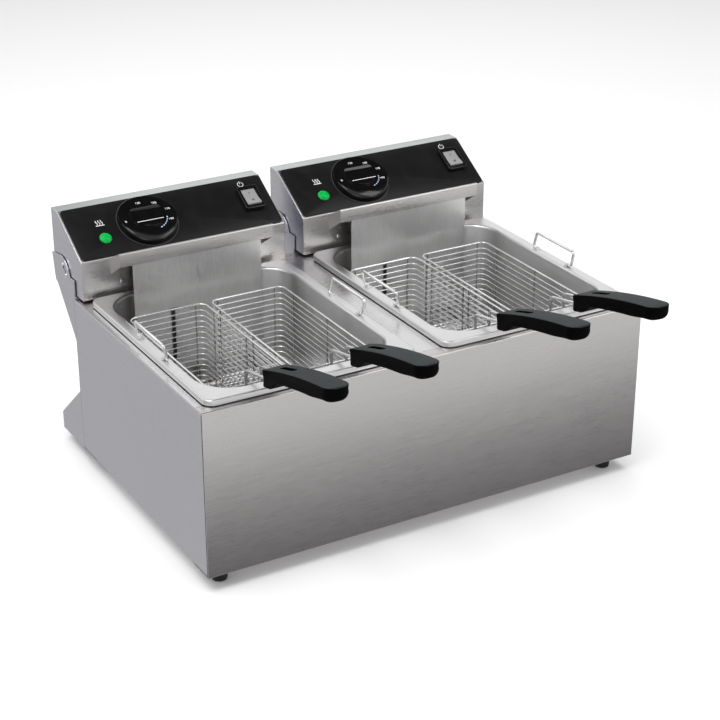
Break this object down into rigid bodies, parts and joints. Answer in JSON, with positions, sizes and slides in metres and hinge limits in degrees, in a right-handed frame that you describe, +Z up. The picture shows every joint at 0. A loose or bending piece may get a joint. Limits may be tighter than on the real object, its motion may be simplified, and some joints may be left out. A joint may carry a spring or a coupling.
{
  "type": "deep fryer",
  "caption": "Countertop electric deep fryer: brushed steel cabinet, lift-out tanks, wire baskets on angled black grips and sloping control heads along the rear.",
  "frame": {"origin": "middle of the whole fryer's footprint, on the surface that its feet stand on", "axes": "+X to the fryer's right seen from the front, +Y to the rear where the control heads are, +Z up"},
  "size_m": [0.6, 0.596, 0.3299],
  "materials": {
    "brushed_steel": "brushed",
    "tank_steel": "satin",
    "wire_steel": "bright",
    "element_steel": "satin",
    "panel_black": "satin",
    "knob_black": "gloss",
    "switch_black": "satin",
    "rocker_grey": "matte",
    "green_lens": "gloss",
    "grip_plastic": "matte",
    "rubber": "matte",
    "reset_red": "matte"
  },
  "bodies": {
    "cabinet": {"front_panel": "brushed_steel", "rear_panel": "brushed_steel", "side_panel_left": "brushed_steel", "side_panel_right": "brushed_steel", "top_deck": "brushed_steel", "bottom_plate": "brushed_steel", "rear_spacer": "brushed_steel", "foot_front_left": "rubber", "foot_front_right": "rubber", "foot_rear_left": "rubber", "foot_rear_right": "rubber", "head_cradle_left": "brushed_steel", "head_cradle_right": "brushed_steel"},
    "tank_left": {"tank_left": "tank_steel"},
    "bail_left_outer": {"bail_left_outer": "wire_steel"},
    "bail_left_inner": {"bail_left_inner": "wire_steel"},
    "head_left": {"head_housing_left": "brushed_steel", "head_back_cover_left": "brushed_steel", "control_panel_left": "panel_black", "indicator_lens_left": "green_lens", "switch_frame_left": "switch_black", "thermostat_left": "brushed_steel", "hood_left": "brushed_steel", "guard_plate_left": "brushed_steel", "heating_element_left": "element_steel", "thermostat_bulb_left": "element_steel", "cord_gland_left": "switch_black"},
    "knob_left": {"knob_left": "knob_black"},
    "rocker_left": {"rocker_left": "rocker_grey"},
    "reset_button_left": {"reset_button_left": "reset_red"},
    "basket_left_left": {"basket_cage_left_left": "wire_steel", "handle_bracket_left_left": "wire_steel", "basket_handle_left_left": "grip_plastic"},
    "basket_left_right": {"basket_cage_left_right": "wire_steel", "handle_bracket_left_right": "wire_steel", "basket_handle_left_right": "grip_plastic"},
    "tank_right": {"tank_right": "tank_steel"},
    "bail_right_outer": {"bail_right_outer": "wire_steel"},
    "bail_right_inner": {"bail_right_inner": "wire_steel"},
    "head_right": {"head_housing_right": "brushed_steel", "head_back_cover_right": "brushed_steel", "control_panel_right": "panel_black", "indicator_lens_right": "green_lens", "switch_frame_right": "switch_black", "thermostat_right": "brushed_steel", "hood_right": "brushed_steel", "guard_plate_right": "brushed_steel", "heating_element_right": "element_steel", "thermostat_bulb_right": "element_steel", "cord_gland_right": "switch_black"},
    "knob_right": {"knob_right": "knob_black"},
    "rocker_right": {"rocker_right": "rocker_grey"},
    "reset_button_right": {"reset_button_right": "reset_red"},
    "basket_right_left": {"basket_cage_right_left": "wire_steel", "handle_bracket_right_left": "wire_steel", "basket_handle_right_left": "grip_plastic"},
    "basket_right_right": {"basket_cage_right_right": "wire_steel", "handle_bracket_right_right": "wire_steel", "basket_handle_right_right": "grip_plastic"}
  },
  "joints": [
    {"name": "tank_left_lift", "type": "slide", "parent": "cabinet", "child": "tank_left", "axis": [0, 0, 1], "range_m": [0, 0.17]},
    {"name": "bail_left_outer_swing", "type": "hinge", "parent": "tank_left", "child": "bail_left_outer", "pos_m": [-0.283, 0.0175, 0.2399], "axis": [0, 1, 0], "range_deg": [-70, 30]},
    {"name": "bail_left_inner_swing", "type": "hinge", "parent": "tank_left", "child": "bail_left_inner", "pos_m": [-0.026, 0.0175, 0.2399], "axis": [0, 1, 0], "range_deg": [-30, 70]},
    {"name": "head_left_lift_off", "type": "slide", "parent": "tank_left", "child": "head_left", "axis": [0, 0, 1], "range_m": [0, 0.17]},
    {"name": "knob_left_turn", "type": "hinge", "parent": "head_left", "child": "knob_left", "pos_m": [-0.1895, 0.23466, 0.30617], "axis": [0, 0.5225, -0.8526], "range_deg": [0, 300]},
    {"name": "rocker_left_press", "type": "hinge", "parent": "head_left", "child": "rocker_left", "pos_m": [-0.044, 0.23323, 0.31233], "axis": [1, 0, 0], "range_deg": [0, 14]},
    {"name": "reset_button_left_push", "type": "slide", "parent": "head_left", "child": "reset_button_left", "axis": [0, -1, 0], "range_m": [0, 0.003], "stiffness_N_per_m": 300, "springref_m": -0.003},
    {"name": "basket_left_left_lift", "type": "slide", "parent": "head_left", "child": "basket_left_left", "axis": [0, 0, 1], "range_m": [0, 0.14]},
    {"name": "basket_left_right_lift", "type": "slide", "parent": "head_left", "child": "basket_left_right", "axis": [0, 0, 1], "range_m": [0, 0.14]},
    {"name": "tank_right_lift", "type": "slide", "parent": "cabinet", "child": "tank_right", "axis": [0, 0, 1], "range_m": [0, 0.17]},
    {"name": "bail_right_outer_swing", "type": "hinge", "parent": "tank_right", "child": "bail_right_outer", "pos_m": [0.283, 0.0175, 0.2399], "axis": [0, 1, 0], "range_deg": [-30, 70]},
    {"name": "bail_right_inner_swing", "type": "hinge", "parent": "tank_right", "child": "bail_right_inner", "pos_m": [0.026, 0.0175, 0.2399], "axis": [0, 1, 0], "range_deg": [-70, 30]},
    {"name": "head_right_lift_off", "type": "slide", "parent": "tank_right", "child": "head_right", "axis": [0, 0, 1], "range_m": [0, 0.17]},
    {"name": "knob_right_turn", "type": "hinge", "parent": "head_right", "child": "knob_right", "pos_m": [0.1195, 0.23466, 0.30617], "axis": [0, 0.5225, -0.8526], "range_deg": [0, 300]},
    {"name": "rocker_right_press", "type": "hinge", "parent": "head_right", "child": "rocker_right", "pos_m": [0.265, 0.23323, 0.31233], "axis": [1, 0, 0], "range_deg": [0, 14]},
    {"name": "reset_button_right_push", "type": "slide", "parent": "head_right", "child": "reset_button_right", "axis": [0, -1, 0], "range_m": [0, 0.003], "stiffness_N_per_m": 300, "springref_m": -0.003},
    {"name": "basket_right_left_lift", "type": "slide", "parent": "head_right", "child": "basket_right_left", "axis": [0, 0, 1], "range_m": [0, 0.14]},
    {"name": "basket_right_right_lift", "type": "slide", "parent": "head_right", "child": "basket_right_right", "axis": [0, 0, 1], "range_m": [0, 0.14]}
  ]
}
